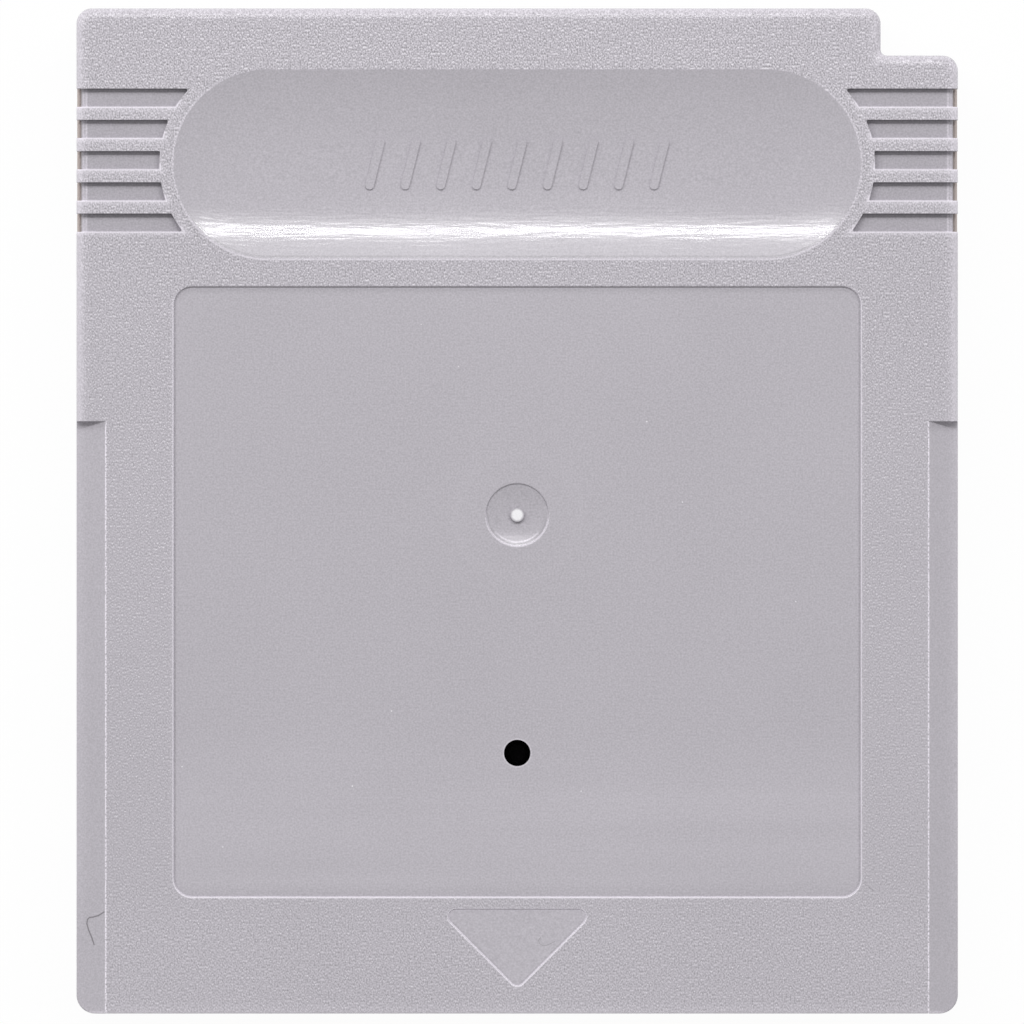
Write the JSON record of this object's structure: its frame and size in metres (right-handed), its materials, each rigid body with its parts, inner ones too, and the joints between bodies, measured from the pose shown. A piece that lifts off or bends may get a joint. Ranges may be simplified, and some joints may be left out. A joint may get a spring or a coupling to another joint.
{
  "type": "game cartridge",
  "caption": "Flat moulded game cartridge with a thumb recess, grooved sides, a bare label recess, a corner notch and a mouth with edge contacts that slides into a handheld console.",
  "frame": {"origin": "centre of the back face, which the cartridge rests on", "axes": "+X across the cartridge towards its notched side, +Y along it from the contacts towards the thumb recess, +Z from the back to the front face"},
  "size_m": [0.057, 0.065, 0.0078],
  "materials": {
    "case_plastic": "fine spark-eroded grain, smooth in the recesses",
    "screw_steel": "zinc plated",
    "board_laminate": "solder resist over laminate",
    "contact_gold": "gold plated",
    "chip_resin": "matt moulded resin",
    "lead_tin": "tin plated",
    "cell_steel": "fine brushed",
    "tab_nickel": "rolled strip",
    "capacitor_ceramic": "fired, with tinned ends",
    "resistor_ceramic": "glazed, with tinned ends"
  },
  "bodies": {
    "root": {"front_shell": "case_plastic", "rear_shell": "case_plastic", "case_screw": "screw_steel", "circuit_board": "board_laminate", "edge_contacts": "contact_gold", "program_chip": "chip_resin", "program_chip_leads": "lead_tin", "bank_chip": "chip_resin", "bank_chip_leads": "lead_tin", "save_chip": "chip_resin", "save_chip_leads": "lead_tin", "power_chip": "chip_resin", "power_chip_leads": "lead_tin", "coin_cell": "cell_steel", "cell_tab_plus": "tab_nickel", "cell_tab_minus": "tab_nickel", "capacitor_1": "capacitor_ceramic", "capacitor_2": "capacitor_ceramic", "capacitor_3": "capacitor_ceramic", "resistor_1": "resistor_ceramic", "resistor_2": "resistor_ceramic", "resistor_3": "resistor_ceramic"}
  },
  "joints": []
}
